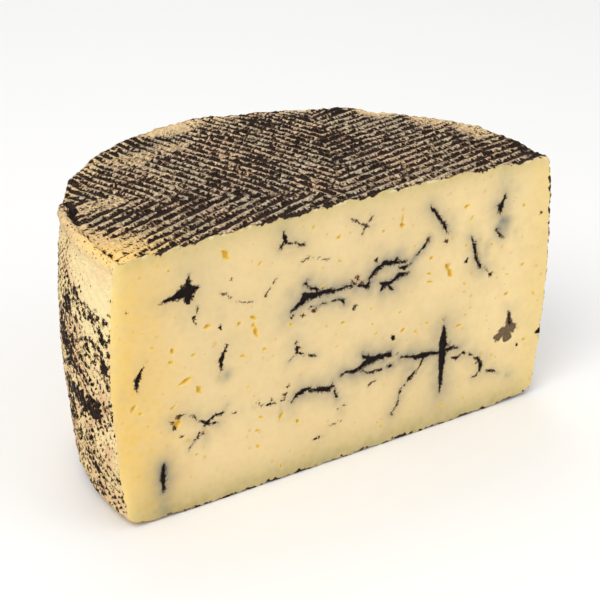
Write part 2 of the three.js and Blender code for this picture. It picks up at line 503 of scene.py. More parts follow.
    def colours(self, points):
        """The rind's colour under its coat, with a painted highlight on the upper left of the side."""
        warm = smooth_step(-0.5, 0.6, rough_noise(points, 18.0, 91, 3))
        blush = smooth_step(-0.4, 0.8, rough_noise(points, 7.0, 95, 3))
        bare = 1 - smooth_step(-0.45, 0.05, self.cover)
        corner = soft_spot(self.across, self.behind, BARE_CORNER, (26, 24))
        top = tinted(linear(188, 184, 160), (226, 202, 164), warm)
        top = tinted(top, (224, 178, 150), 0.7 * blush)
        top = tinted(top, (232, 200, 146), 0.85 * self.near_rim)
        top = tinted(top, (238, 206, 152), 0.8 * bare)
        top = tinted(top, (248, 203, 116), np.clip(1.15 * corner, 0, 1))
        side = tinted(linear(236, 206, 148), (252, 228, 168), warm)
        side = tinted(side, (222, 172, 130), 0.8 * blush)
        # Painted highlight: the side's upper left, under the lip, is painted pale where the key light falls.
        side = tinted(side, (255, 238, 180), 0.8 * self.pale)
        return mix(side, top, self.ends[:, None])

    def displaced(self, numbering):
        """Where the vertices are once the relief has moved them. The cut's edge stays in the cut's plane."""
        place = self.place + self.facing * self.relief[:, None]
        place[:, 2] += self.lift
        for edge in (numbering.side[0], numbering.side[-1], numbering.top[:, 0], numbering.base[:, 0]):
            place[edge, 1] = CUT_Y
        return place


# ---------------------------------------------------------------------------------------------------------
# The cut face: dark veins with soft grey stains round them, and small ochre eyes.

# A vein is drawn as strokes of (across, up, width), each with how strongly it stains the paste round it.
VEINS = {
    "blotch": (0.3, [
        [(-65, 91.3, 0.5), (-65.6, 88.5, 2.2), (-65.4, 85.5, 5.0), (-65.7, 82.8, 3.4), (-65.6, 80.8, 0.8)],
        [(-65.8, 85.3, 4.0), (-69, 85, 3.6), (-72, 84.2, 2.0), (-76.5, 84, 0.4)],
        [(-69, 85.4, 1.6), (-67.2, 88, 0.8)],
        [(-65, 86.2, 3.0), (-62.3, 86, 1.0)],
    ]),
    "below_blotch": (0.15, [
        [(-62, 79, 0.9), (-62.8, 77.2, 0.6)],
        [(-63, 76.6, 0.6), (-64.2, 75, 1.4), (-63.6, 73.8, 1.0), (-63.3, 72, 0.3)],
    ]),
    "left_slit": (0.1, [
        [(-84.1, 61.6, 0.5), (-85.4, 59.5, 1.0), (-86.6, 56.8, 2.3), (-86.9, 54.8, 1.2), (-86.8, 53, 0.3)],
    ]),
    "second_slit": (0.15, [
        [(-51, 60.8, 0.5), (-52, 58.6, 1.0), (-53.4, 55.6, 2.4), (-53.4, 53.8, 1.2), (-53.4, 51.7, 0.3)],
    ]),
    "low_slit": (0.9, [
        [(-78, 21, 0.4), (-78.1, 18, 1.8), (-78.2, 14, 2.0), (-78.3, 10, 0.5)],
    ]),
    "left_star": (0.4, [
        [(-65.4, 36.9, 0.3), (-63.4, 34.3, 0.5), (-60.4, 32.3, 1.3)],
        [(-60.4, 32.3, 1.3), (-56.6, 34.4, 0.7), (-53.4, 34, 0.2)],
        [(-53, 34, 0.3), (-52, 36, 0.6), (-51.4, 37, 0.2)],
        [(-60.4, 32.3, 1.3), (-57.8, 31.4, 0.6), (-55.4, 31, 0.2)],
        [(-60.8, 31.6, 0.5), (-61.6, 28.6, 0.2)],
    ]),
    "star_arms": (0.3, [
        [(-74.6, 37.6, 0.6), (-72.4, 38.6, 0.4), (-70.6, 38.3, 0.8), (-68.3, 38.2, 0.9), (-66.2, 37.4, 0.4)],
        [(-73.6, 34.6, 0.7), (-73.8, 36.6, 0.7), (-74.4, 37.8, 0.3)],
        [(-62.6, 29.8, 0.3), (-64.4, 27.6, 0.8), (-65.9, 26.1, 0.5)],
        [(-66.2, 25.6, 0.4), (-67.5, 23.5, 0.3)],
    ]),
    "lower_dots": (0.15, [
        [(-48.6, 32.7, 0.8), (-48, 32.7, 0.6)],
        [(-45.4, 32.6, 0.5), (-45, 32.8, 0.5)],
        [(-40.6, 32.7, 0.6), (-40, 32.6, 0.4)],
        [(-37, 32.3, 1.1), (-34, 32, 1.6), (-31, 31.8, 1.2)],
        [(-29.4, 31.6, 1.2), (-26, 31.4, 0.8)],
    ]),
    "lower_left": (0.6, [
        [(-23.9, 29.9, 0.6), (-22.2, 31.8, 1.8), (-18.7, 32.9, 2.2), (-16, 33, 1.0)],
        [(-15.8, 31.9, 1.0), (-11.2, 31.3, 2.4), (-7.7, 30.3, 2.2), (-6, 30.8, 1.0), (-6, 32.5, 0.4)],
        [(-5, 28.4, 1.4), (-3.9, 25.6, 0.7)],
    ]),
    "lower_middle": (0.7, [
        [(-1.9, 34.4, 0.5), (0, 35.1, 1.0), (3, 34.5, 1.6), (6.2, 35.2, 1.9), (9, 36.6, 2.8), (12, 37.4, 2.6),
         (15.8, 36.9, 2.4), (20, 37, 2.0), (21, 36.6, 0.6)],
        [(7.4, 40.8, 0.7), (8.6, 39.4, 1.6), (10.3, 38, 1.6)],
        [(6.5, 33.7, 0.6), (9.6, 32.2, 0.9), (13.8, 31.6, 0.8), (16.5, 31.6, 0.4)],
        [(19, 31.8, 0.4), (22, 32.3, 0.8)],
    ]),
    "lower_right": (0.7, [
        [(25.8, 34.1, 0.7), (29.6, 33.3, 1.2), (32.4, 32.4, 1.8), (35.8, 32.1, 2.6), (39.3, 31.8, 2.0),
         (42.7, 31, 1.3), (48.2, 30.8, 1.6), (50.6, 31, 1.0), (53, 30.2, 0.4)],
        [(48, 31.5, 0.8), (48.9, 33.5, 0.4)],
    ]),
    "tall_slit": (0.6, [
        [(45.9, 42, 0.6), (45.7, 39, 2.4), (45.6, 34, 4.0), (45.5, 29, 3.6), (45.3, 22, 2.4), (45.1, 16, 1.2),
         (45.1, 13, 0.4)],
    ]),
    "branch": (0.4, [
        [(35.9, 30.4, 0.8), (34.2, 27.2, 0.7), (32.2, 25.1, 0.9), (29.4, 23.3, 1.5), (28.6, 22.6, 0.6)],
        [(27.2, 21.6, 0.5), (25.6, 19.9, 0.6), (25.1, 16.5, 0.8), (24.1, 13.4, 0.8), (21.3, 10.6, 0.5)],
    ]),
    "right_chain": (0.4, [
        [(50.3, 27, 0.5), (52.7, 26.1, 1.2), (54.2, 26.6, 0.6)],
        [(55.4, 27.1, 1.0), (56.8, 27.4, 1.4), (58.9, 26.3, 0.8), (61, 24.4, 0.9), (63, 22.8, 0.9),
         (64.4, 20.9, 1.2), (65.2, 18.9, 2.2), (64.9, 16.9, 0.6)],
        [(61, 15, 0.4), (63.6, 15.6, 0.3)],
        [(68.2, 16, 0.6), (70.9, 15.2, 0.7), (73.6, 14, 0.7), (74.4, 13, 0.4)],
        [(79, 10.8, 0.5), (80, 10.4, 0.3)],
    ]),
    "faint_low": (0.1, [
        [(10.3, 26.5, 0.6), (14.1, 27.8, 0.4)],
        [(-14.3, 10.3, 0.6), (-8.7, 11.6, 0.4)],
        [(-7, 14.4, 0.5), (-1.9, 14.6, 0.3)],
        [(-3.6, 20.9, 0.3), (1, 21.4, 0.3)],
    ]),
    "upper_left": (0.7, [
        [(-17, 77, 0.8), (-18.2, 76, 1.4), (-16.6, 74.6, 1.0), (-13.2, 72.8, 1.2)],
        [(-24.5, 66.9, 0.4), (-21.8, 68, 1.2), (-19.8, 69.6, 2.6), (-18.4, 71, 3.0), (-13.9, 70.8, 2.6),
         (-9.8, 71, 2.2), (-5.6, 70.3, 1.6), (-0.5, 70.6, 0.6)],
        [(-6.3, 66.5, 0.7), (-3.6, 66.5, 1.2), (-1.7, 65.2, 1.2), (-1.1, 64, 0.3)],
        [(-16, 66.4, 0.5), (-9, 66.2, 0.3)],
        [(0, 70.3, 0.8), (2, 70.2, 0.8)],
    ]),
    "upper_right": (0.7, [
        [(4.1, 69.6, 1.0), (6.9, 69.3, 1.2), (9, 68.6, 2.4), (9.3, 67.4, 0.5)],
        [(9, 69, 1.6), (9.8, 71, 1.2), (12.1, 72.9, 1.6), (14.1, 74.7, 2.2), (16.5, 75.9, 2.4),
         (18.3, 75, 1.8), (20.7, 75, 1.4), (22.4, 76, 0.8)],
        [(20.7, 74.8, 1.0), (23.8, 74.4, 1.0), (26.9, 74.2, 0.9)],
        [(23.6, 71.9, 0.8), (25.5, 72, 1.8), (27.9, 71.9, 0.6)],
        [(27.6, 72.4, 0.3), (31, 74.7, 0.3), (33.7, 77.4, 0.2), (35.8, 79.2, 0.4), (37, 81.2, 0.2)],
        [(14.6, 68.4, 0.6), (17, 67, 2.6), (19.3, 66.7, 1.6), (21.3, 67.8, 1.4), (23.8, 69.1, 2.2),
         (27.3, 69.2, 0.9)],
        [(16.6, 66.5, 1.4), (15.4, 65, 0.6)],
        [(18.6, 66, 1.4), (20.9, 64, 0.5)],
    ]),
    "between_veins": (0.15, [
        [(2.2, 59.6, 0.6), (3.2, 60.6, 1.4), (4.3, 62.1, 0.4)],
    ]),
    "top_star": (0.4, [
        [(-27.3, 98.9, 0.7), (-26.5, 96.4, 2.0), (-26, 94.6, 1.2), (-23.6, 93.4, 0.6)],
        [(-22, 93, 0.5), (-18.7, 91.5, 0.6)],
        [(-26.3, 95, 0.8), (-29.1, 92.4, 0.3)],
    ]),
    "middle_star": (0.35, [
        [(-22.2, 54, 0.6), (-21.5, 51.2, 1.8), (-21.8, 48.8, 0.8)],
        [(-21.3, 49.6, 0.7), (-18.2, 48, 0.5)],
        [(-17, 47.6, 0.5), (-13.9, 46, 0.5)],
        [(-22, 49, 0.5), (-24.6, 47.3, 0.3)],
    ]),
    "thin_star": (0.25, [
        [(1.8, 97, 0.3), (4.2, 95.2, 0.4), (7.2, 92.8, 0.8)],
        [(7.2, 92.8, 0.7), (10.9, 95.8, 0.3)],
        [(7.2, 92.6, 0.7), (10.4, 91.6, 0.4)],
        [(7, 92.4, 0.5), (6.2, 90, 0.2)],
    ]),
    "right_cracks": (0.55, [
        [(37.2, 93.4, 0.7), (38.9, 91.2, 1.1), (40.6, 89.3, 1.1), (42.4, 86.4, 1.4), (44.1, 84.6, 1.6),
         (45.6, 81.8, 0.8)],
        [(57.2, 76.2, 0.8), (58.8, 73, 1.6), (59.8, 69.5, 1.4), (60.6, 66.1, 1.5), (62, 63.6, 1.6),
         (63.8, 62.4, 0.6)],
        [(72.8, 91.4, 0.7), (72.3, 88.6, 1.1), (70.8, 86.2, 2.6), (70.8, 84, 1.6), (70.7, 82, 0.4)],
        [(70.8, 86.4, 1.6), (68.7, 86.8, 0.5)],
    ]),
    "trefoil_stem": (0.2, [
        [(77.9, 39.2, 0.6), (78.1, 37, 1.3), (78.9, 34.6, 1.5), (79.9, 32.6, 0.6)],
    ]),
    "right_bits": (0.2, [
        [(65, 61, 0.6), (66, 60.3, 0.3)],
        [(67.2, 58.9, 0.7), (68, 58.3, 0.3)],
        [(69.3, 76.6, 0.9), (70.6, 75, 0.9), (71.4, 74, 0.6)],
        [(72.6, 73, 0.7), (73, 72.4, 0.5)],
        [(77.6, 74, 0.9), (78, 74, 0.9)],
    ]),
    "left_curves": (0.12, [
        [(-52.8, 81.5, 1.0), (-51.4, 81, 0.5), (-49, 78.8, 0.3)],
        [(-46.3, 76.6, 0.4), (-42.8, 75.7, 0.6), (-40.4, 75.5, 0.4)],
        [(-34.7, 76.2, 1.2), (-34, 77.6, 0.6), (-32.2, 79.6, 0.3), (-30.1, 81.3, 0.5)],
        [(-20, 85.3, 0.3), (-17, 86, 0.5), (-11.5, 85.6, 0.5)],
        [(-10.8, 84.6, 0.6), (-8.4, 83.2, 0.3)],
    ]),
}
# The veins that only just reach the cut, and are thin and brown.
FAINT = {"faint_low", "left_curves", "thin_star", "lower_dots", "between_veins", "below_blotch", "star_arms"}
# The veins that a straight slit left, which do not wander.
STRAIGHT = {"left_slit", "second_slit", "low_slit", "tall_slit"}
# Single dark dots, as (across, up, width).
DOTS = [
    (-53.5, 68.6, 0.9), (21.3, 43.5, 1.9), (55.3, 67.1, 1.4), (83.3, 23, 1.2), (94.6, 26.8, 2.4),
    (12.9, 78.2, 1.2), (-73, 34, 0.8), (3.4, 73.3, 0.8), (1.6, 72.2, 0.7), (45.7, 44.8, 0.6), (77, 87.4, 0.4),
    (-89.5, 83.6, 0.5), (91.6, 79, 0.7), (-70.4, 29.6, 0.4), (-38.2, 33.8, 0.6), (23.4, 36.4, 0.5),
]
# A hole filled with grey-brown, seen through the paste, as (across, up, width) of each lobe.
TREFOIL = [
    (78, 38.6, 1.5), (78.3, 36.8, 2.0), (78.7, 34.8, 2.8), (78.6, 32.8, 4.6), (75.6, 31.2, 4.0),
    (73.0, 29.6, 3.6), (80.4, 31.8, 3.6), (78.0, 28.4, 3.8),
]
# Soft blue-grey stains that lie beside the veins, as (across, up, half width, half height, amount).
STAINS = [
    (-52.4, 49.6, 3.4, 4.2, 0.75), (-60.6, 26.5, 3.0, 5.0, 0.35), (-28.6, 27.5, 2.4, 5.0, 0.4),
    (64.2, 68.6, 3.0, 6.0, 0.55), (72.0, 77.5, 4.6, 5.8, 1.25), (72.6, 95, 4.5, 8.0, 0.35),
    (-78.2, 5.0, 4.0, 7.0, 0.7), (-53, 73, 3.0, 5.0, 0.22), (30, 27, 6.0, 6.0, 0.45), (12, 70.5, 9, 4, 0.6),
    (-12, 68.2, 10, 3.5, 0.55), (40, 27.5, 6, 5, 0.35), (-66, 79, 5, 4, 0.15), (45.4, 8, 3, 6, 0.3),
    (-92, 52, 3, 8, 0.12), (20, 31, 9, 3.5, 0.3), (-2, 22, 3.5, 6, 0.3), (6, 95.5, 6, 5, 0.12),
    (30.5, 76, 5, 4, 0.4), (60, 22, 6, 4, 0.3), (-24, 73, 4, 5, 0.4), (48, 36, 3.0, 7, 0.3),
    (12, 34, 6, 3, 0.5), (-13, 34.5, 9, 3, 0.25), (-20, 66.5, 7, 3, 0.3),
]
# Eyes: small angular holes with ochre walls, as (across, up, length, width, slant in degrees).
EYES = [
    (-50.8, 95.7, 4.0, 2.0, -50), (-72.9, 95, 1.8, 1.0, -20), (-37.3, 89.1, 2.0, 0.9, 40),
    (-58.7, 70.2, 2.4, 1.6, 10), (-72.8, 64.7, 2.6, 1.4, -60), (-73.5, 60.5, 2.6, 1.2, 0),
    (-64.5, 60.8, 1.8, 1.0, 15), (-68, 51.6, 5.4, 1.6, 18), (-62.8, 46.4, 3.0, 1.8, -50),
    (-88.6, 46.6, 2.2, 1.6, 60), (-85.9, 44, 1.4, 0.8, 0), (-73.5, 42.6, 2.0, 0.9, 30),
    (-45.9, 67.9, 1.8, 1.5, 40), (-40.1, 68.6, 2.4, 1.6, -20), (-40.2, 65.8, 2.0, 1.2, 80),
    (-39.0, 62.8, 4.6, 1.7, -72), (-44.6, 54.7, 2.6, 0.9, -10), (-35.3, 55, 1.7, 1.0, 20),
    (-42.8, 41.6, 1.4, 0.7, 20), (-37.3, 27.5, 1.6, 1.0, 0), (-39, 22.3, 2.2, 0.9, 0),
    (-39, 15.4, 2.2, 1.0, -30), (-29.1, 4.1, 1.6, 1.0, -50), (-21.1, 20.6, 2.2, 1.4, -40),
    (-14.9, 97.4, 1.5, 1.0, 0), (-3.9, 91.2, 1.9, 1.2, 60), (-3.2, 81.6, 1.7, 0.8, -20),
    (-1.9, 56.4, 1.7, 1.1, 0), (-4.6, 47.5, 1.8, 0.6, 20), (-24.6, 61.9, 1.7, 0.9, 0),
    (-28.6, 25.2, 3.4, 1.6, 75), (-83.8, 74.5, 1.2, 0.6, 30), (-78.7, 79.5, 1.4, 0.6, 10),
    (-80.4, 67.8, 1.5, 0.7, -15), (-64.5, 20.8, 1.4, 0.8, 20), (15.8, 88.8, 1.8, 1.2, 0),
    (24.2, 92, 3.4, 1.1, 86), (24.2, 89.2, 2.2, 1.7, 0), (54.1, 89.8, 2.2, 1.4, 20),
    (57.2, 84.7, 2.6, 0.8, 55), (82.6, 84.3, 1.2, 1.0, 0), (38.2, 72.6, 1.6, 1.2, 20),
    (37.5, 66.1, 1.8, 0.9, 0), (38.2, 62.7, 3.0, 0.9, -12), (46, 67, 3.2, 1.8, -60),
    (47.4, 64.2, 3.6, 2.2, -50),
    (54.9, 74, 1.3, 1.2, 0), (67.4, 71.1, 1.4, 1.0, 20), (54.8, 57.8, 1.5, 0.9, -20),
    (75.8, 56.6, 1.8, 0.7, 0), (83.5, 58.8, 1.4, 1.0, 30), (76.1, 48.1, 1.7, 1.3, 40),
    (90.2, 44.7, 2.6, 0.8, -50), (25.8, 45.4, 2.2, 1.4, 60), (32, 43.3, 1.4, 1.0, 0),
    (37.2, 45.4, 1.8, 0.8, 10), (44.1, 44.8, 1.2, 0.8, 0), (56.1, 44.4, 1.3, 0.9, 30),
    (52.7, 40.2, 3.0, 1.2, 20), (11.7, 52.3, 1.4, 0.8, 0), (24.4, 53.7, 1.3, 0.8, 30),
    (11, 58.8, 1.3, 0.7, 0), (13.4, 47.5, 1.4, 0.8, 20), (87.1, 25.1, 1.6, 1.2, 0),
    (16.9, 6.5, 1.5, 0.9, 30), (15.2, 8.9, 1.1, 0.7, 0), (45.8, 6.8, 1.5, 0.9, 0), (56.8, 6.8, 1.4, 0.8, 60),
    (-71.8, 35.6, 4.0, 2.6, 70), (-10.5, 73.8, 1.5, 0.8, 30), (30.6, 79.6, 1.2, 0.7, 0),
]
# Brown specks, where a little of the vein's dark shows through, as (across, up, width).
BROWN = [
    (-25.3, 37.1, 1.2), (-23.6, 64.7, 1.5), (-19.1, 64.1, 1.2), (-14.3, 64.7, 1.8), (-48.7, 86, 0.8),
    (45.1, 77.9, 2.0), (-27, 33.7, 1.8), (4.6, 73, 1.7), (3.2, 71, 1.4), (36.6, 80.6, 1.6), (67.6, 58.6, 1.2),
    (6.6, 70.8, 1.4), (-71.5, 38.0, 1.6), (-73.8, 36.4, 1.4), (-32.6, 33.6, 0.9), (62.8, 21.4, 1.0),
]


LOZENGE = 1.3  # the power that gives an eye its shape: 1 is a sharp lozenge, 2 an ellipse
VEIN_DEPTH, EYE_DEPTH, PORE_DEPTH = 0.55, 1.0, 0.10
KNIFE_DRAG = (28.0, 28.0, 0.9)  # the size of the faint level streaks that the knife left
LEVEL_WITH_RIND = 1.2  # the face comes out to the rind's edge over this width
FAR = 9.0  # stands for anywhere well outside a vein, eye or speck, in millimetres


def stroke_distance(across, up, stroke):
    """How far each place is outside a stroke whose width changes along it, and how wide it is there."""
    nearest = np.full(len(across), np.inf)
    widest = np.zeros(len(across))
    for (x0, z0, w0), (x1, z1, w1) in zip(stroke, stroke[1:]):
        run_x, run_z = x1 - x0, z1 - z0
        share = ((across - x0) * run_x + (up - z0) * run_z) / (run_x**2 + run_z**2)
        share = np.clip(share, 0, 1)
        width = mix(w0, w1, share)
        out = np.hypot(across - x0 - share * run_x, up - z0 - share * run_z) - width / 2
        widest = np.where(out < nearest, width, widest)
        nearest = np.minimum(nearest, out)
    return nearest, widest


def spot_distance(across, up, spots):
    """How far each place is outside the nearest of these round spots."""
    nearest = np.full(len(across), FAR)
    for x, z, width in spots:
        nearest = np.minimum(nearest, np.hypot(across - x, up - z) - width / 2)
    return nearest


class CutFace:
    """Every vertex of the cut face: its veins, stains, eyes and colour, and how deep it is behind the cut."""

    def __init__(self, numbering, place, coat):
        grid = place[numbering.face]
        flat = fill_between(grid[:, 0], grid[:, -1], grid[0], grid[-1])
        self.shape = flat.shape[:2]
        self.place = flat.reshape(-1, 3)
        columns, rows = self.shape
        self.coat_below, self.coat_above = (np.repeat(coat[numbering.face[:, end]], rows) for end in (0, -1))
        self.coat_left, self.coat_right = (np.tile(coat[numbering.face[end]], columns) for end in (0, -1))
        self.across = self.place[:, 0]
        self.up = self.place[:, 2] - LOWER_RIM
        self.rind_near()
        self.make()

    def rind_near(self):
        """How far each vertex is from the rind, along each edge of the face."""
        low = base_height(np.abs(self.across))
        high = dome_height(np.hypot(self.across, AXIS_BEHIND_CUT))
        end = np.sqrt(side_radius(np.clip(self.place[:, 2], 0, RIM_HEIGHT)) ** 2 - AXIS_BEHIND_CUT**2)
        self.from_side = end - np.abs(self.across)
        self.from_top = high - self.place[:, 2]
        self.from_base = self.place[:, 2] - low
        self.from_rind = np.minimum(np.minimum(self.from_side, self.from_top), self.from_base)

    def make(self):
        points = self.place
        jagged = np.stack([noise(points, 0.9, seed) for seed in (121, 125)])
        self.stain = self.soft_stains() * (0.8 + 0.4 * rough_noise(points, 4.0, 131, 3))
        self.vein = self.draw_veins(points, jagged)
        across, up = self.across + 0.6 * jagged[0], self.up + 0.6 * jagged[1]
        self.vein = np.minimum(self.vein, spot_distance(across, up, DOTS))
        self.brown = spot_distance(across, up, BROWN)
        self.smoke = spot_distance(across, up, TREFOIL)
        self.eye = self.eyes(points)
        self.crust = self.rind_edge(points)
        self.recess = self.hollows(points)
        self.colour = self.colours(points)

    def draw_veins(self, points, jagged):
        """How far each place is outside the nearest vein. Each vein also stains the paste round it."""
        wander = np.stack([rough_noise(points, 3.2, seed, 3) for seed in (101, 111)])
        wander = 0.55 * wander + 0.25 * jagged
        gaps = 0.75 * smooth_step(-0.1, 0.7, noise(points, 2.0, 127))
        nearest = np.full(len(points), FAR)
        for name, (amount, strokes) in VEINS.items():
            bent = 0.3 if name in STRAIGHT else 1.0
            faint = 0.2 if name in FAINT else 0
            across, up = self.across + bent * wander[0], self.up + bent * wander[1]
            for stroke in strokes:
                out, width = stroke_distance(across, up, stroke)
                thin = 1 - smooth_step(0.7, 1.7, width)
                nearest = np.minimum(nearest, out + bent * gaps * thin + 0.2 * (1 - thin) + faint)
                reach = 1.8 + 0.9 * max(width for _, _, width in stroke)
                halo = amount * np.exp(-(np.maximum(out, 0) / reach) ** 1.1)
                self.stain = np.maximum(self.stain, halo)
        return nearest

    def soft_stains(self):
        total = np.zeros(len(self.across))
        for x, z, half_width, half_height, amount in STAINS:
            out = np.hypot((self.across - x) / half_width, (self.up - z) / half_height)
            total += amount * np.exp(-1.2 * out**2)
        return np.clip(total, 0, 1)

    def rind_edge(self, points):
        """Where the rind's dark coat is seen along the face's edge: over 0 is dark."""
        ragged = 0.55 * noise(points, 1.7, 143) + 0.35 * noise(points, 0.9, 145)
        above = self.coat_above - 0.85 * self.from_top
        below = 0.70 + 0.4 * self.coat_below + 0.9 * noise(points, 1.5, 147) - 1.1 * self.from_base
        left = self.coat_left - 3.0 * self.from_side - 3.0 * (self.across > 0)
        right = 0.6 * self.coat_right + 0.1 - 1.2 * self.from_side - 3.0 * (self.across < 0)
        return np.maximum(np.maximum(above, below), np.maximum(left, right)) + ragged

    def eyes(self, points):
        """How far each place is outside the nearest eye, which is a lozenge with uneven corners."""
        nearest = np.full(len(points), FAR)
        bend = 0.35 * np.stack([noise(points, 1.5, seed) for seed in (151, 155)])
        for x, z, length, width, slant in EYES:
            angle = math.radians(slant)
            dx, dz = self.across + bend[0] - x, self.up + bend[1] - z
            along = (dx * math.cos(angle) + dz * math.sin(angle)) / (0.58 * length)
            over = (-dx * math.sin(angle) + dz * math.cos(angle)) / (0.62 * width)
            skew = 0.25 * np.where(over > 0, 1, -1) * along
            out = (np.abs(along) ** LOZENGE + np.abs(over) ** LOZENGE) ** (1 / LOZENGE) + skew - 1
            nearest = np.minimum(nearest, out * min(length, width) / 2)
        return nearest

    def hollows(self, points):
        """How deep the surface lies behind the knife's plane."""
        veins = VEIN_DEPTH * (1 - smooth_step(-0.5, 0.25, self.vein)) * (1 + 0.5 * noise(points, 1.3, 161))
        eyes = EYE_DEPTH * (1 - smooth_step(-0.55, 0.05, self.eye))
        pores = PORE_DEPTH * smooth_step(0.55, 0.9, noise(points, 2.6, 165))
        drag = 0.035 * noise(points, KNIFE_DRAG, 171) + 0.10 * rough_noise(points, 30.0, 175, 2)
        return (veins + eyes + pores + 0.1 + drag) * smooth_step(0.0, LEVEL_WITH_RIND, self.from_rind)

    def near_edge(self, distance, reach, power):
        """1 at an edge of the face, easing to 0 over this reach inside it."""
        return np.exp(-(np.maximum(distance, 0) / reach) ** power)

    def colours(self, points):
        """The paste's colour: deeper near the rind, where it has dried, cloudy all over, with painted light
        at its left end and top edge.
        """
        cloud = smooth_step(-0.6, 0.7, rough_noise(points, 24.0, 181, 3))
        paste = tinted(linear(231, 205, 151), (238, 212, 159), cloud)
        paste = tinted(paste, (245, 219, 160), 0.7 * smooth_step(10, 75, self.across))
        paste = tinted(paste, (238, 196, 96), 0.88 * (1 - smooth_step(-97, -58, self.across)))
        paste = tinted(paste, (156, 148, 92), 0.78 * self.near_edge(self.from_base, 8.0, 1.5))
        paste = tinted(paste, (190, 176, 112), 0.75 * self.near_edge(self.from_top, 4.5, 1.3))
        # Painted light: the paste at the left end is brightened as though the key light shone through the
        # corner, most towards the top and the bottom.
        away_from_middle = np.abs(smooth_step(30, 85, self.up) - 1 + smooth_step(10, 34, self.up))
        lit_left_end = self.near_edge(self.from_side, 4.0, 1.5) * (self.across < 0)
        paste = tinted(paste, (255, 232, 156), 0.7 * lit_left_end * (0.25 + 0.75 * away_from_middle))
        paste = tinted(paste, (236, 208, 134), 0.7 * smooth_step(78, 95, self.across))
        # White crumbs along the top edge, which are also a painted highlight where the edge catches the
        # light.
        crumb_and_highlight = (1 - smooth_step(0.3, 1.6, self.from_top)) * smooth_step(-0.1, 0.4, noise(points, 1.7, 141))
        return tinted(paste, (250, 240, 214), 0.5 * crumb_and_highlight)


# ---------------------------------------------------------------------------------------------------------
# The mesh.

PASTE_SLOT, RIND_SLOT = 0, 1

# The square map that the colours are kept on: each stretch's map pixels for a millimetre, the gap between the
# stretches, the map's side, and the millimetres that the base starts to the right of the top.
MAP_SCALES = {"side": 2.96, "face": 3.28, "top": 3.0, "base": 2.25}
MAP_GAP = 6.0
MAP_PIXELS = 1024.0
TOP_ON_MAP = 190.0


def grid_faces(grid, turned):
    """The grid's cells as four-cornered faces, facing the way that turned says."""
    corners = [grid[:-1, :-1], grid[1:, :-1], grid[1:, 1:], grid[:-1, 1:]]
    faces = np.stack(corners, -1).reshape(-1, 4)
    return faces[:, ::-1] if turned else faces


def laid_flat(numbering, rind, place):
    """Each stretch of the surface laid flat, cell corner by cell corner, in millimetres."""
    side_run = np.linspace(0, ROUND_TO_RIGHT, ROUND_RIND + 1)
    return {
        "side": np.stack(np.broadcast_arrays(side_run[:, None], PROFILE_RUN[None]), -1),
        "face": place[numbering.face][..., (0, 2)],
        "top": rind.place[numbering.top][..., :2],
        "base": rind.place[numbering.base][..., :2] * (1, -1),
    }


def map_places(flats):
    """Where each stretch lies on the square map: the side, then the face, then the top and base together."""
    flats = {name: flat * MAP_SCALES[name] for name, flat in flats.items()}
    face_starts = np.ptp(flats["side"][..., 1]) + 2 * MAP_GAP
    ends_start = face_starts + np.ptp(flats["face"][..., 1]) + MAP_GAP
    starts = {
        "side": (MAP_GAP, MAP_GAP),
        "face": (MAP_GAP, face_starts),
        "top": (MAP_GAP, ends_start),
        "base": (2 * MAP_GAP + TOP_ON_MAP * MAP_SCALES["top"], ends_start),
    }
    return {
        name: (flat - flat.reshape(-1, 2).min(0) + starts[name]) / MAP_PIXELS
        for name, flat in flats.items()
    }


def make_mesh(numbering, rind, face, place):
    grids = {
        "side": (numbering.side, False, RIND_SLOT),
        "top": (numbering.top, False, RIND_SLOT),
        "base": (numbering.base, True, RIND_SLOT),
        "face": (numbering.face, False, PASTE_SLOT),
    }
    mapped = map_places(laid_flat(numbering, rind, place))
    faces, slots, corners = [], [], []
    for name, (grid, turned, slot) in grids.items():
        faces.append(grid_faces(grid, turned))
        slots.append(np.full(len(faces[-1]), slot, np.int32))
        order = grid_faces(np.arange(grid.size).reshape(grid.shape), turned)
        corners.append(mapped[name].reshape(-1, 2)[order.ravel()])
    faces = np.concatenate(faces)

    mesh = bpy.data.meshes.new("cheese_half")
    mesh.vertices.add(len(place))
    mesh.vertices.foreach_set("co", (place * MM).ravel())
    mesh.loops.add(faces.size)
    mesh.loops.foreach_set("vertex_index", faces.ravel())
    mesh.polygons.add(len(faces))
    mesh.polygons.foreach_set("loop_start", np.arange(0, faces.size, 4))
    mesh.update(calc_edges=True)
    mesh.polygons.foreach_set("material_index", np.concatenate(slots))
    mesh.polygons.foreach_set("use_smooth", np.ones(len(faces), bool))
    mesh.uv_layers.new(name="OFBake").uv.foreach_set("vector", np.concatenate(corners).ravel())
    keep_cut_sharp(mesh, numbering)
    give_numbers(mesh, numbering, rind, face)
    mesh.validate()
    return mesh


def keep_cut_sharp(mesh, numbering):
    """The edges along the cut's outline stay sharp, and the rest of the mesh is shaded smooth."""
    on_outline = np.zeros(numbering.count, bool)
    for edge in (numbering.face[0], numbering.face[-1], numbering.face[:, 0], numbering.face[:, -1]):
        on_outline[edge] = True
    ends = np.empty(len(mesh.edges) * 2, np.int32)
    mesh.edges.foreach_get("vertices", ends)
    sharp = on_outline[ends.reshape(-1, 2)].all(1)
    mesh.attributes.new("sharp_edge", "BOOLEAN", "EDGE").data.foreach_set("value", sharp)


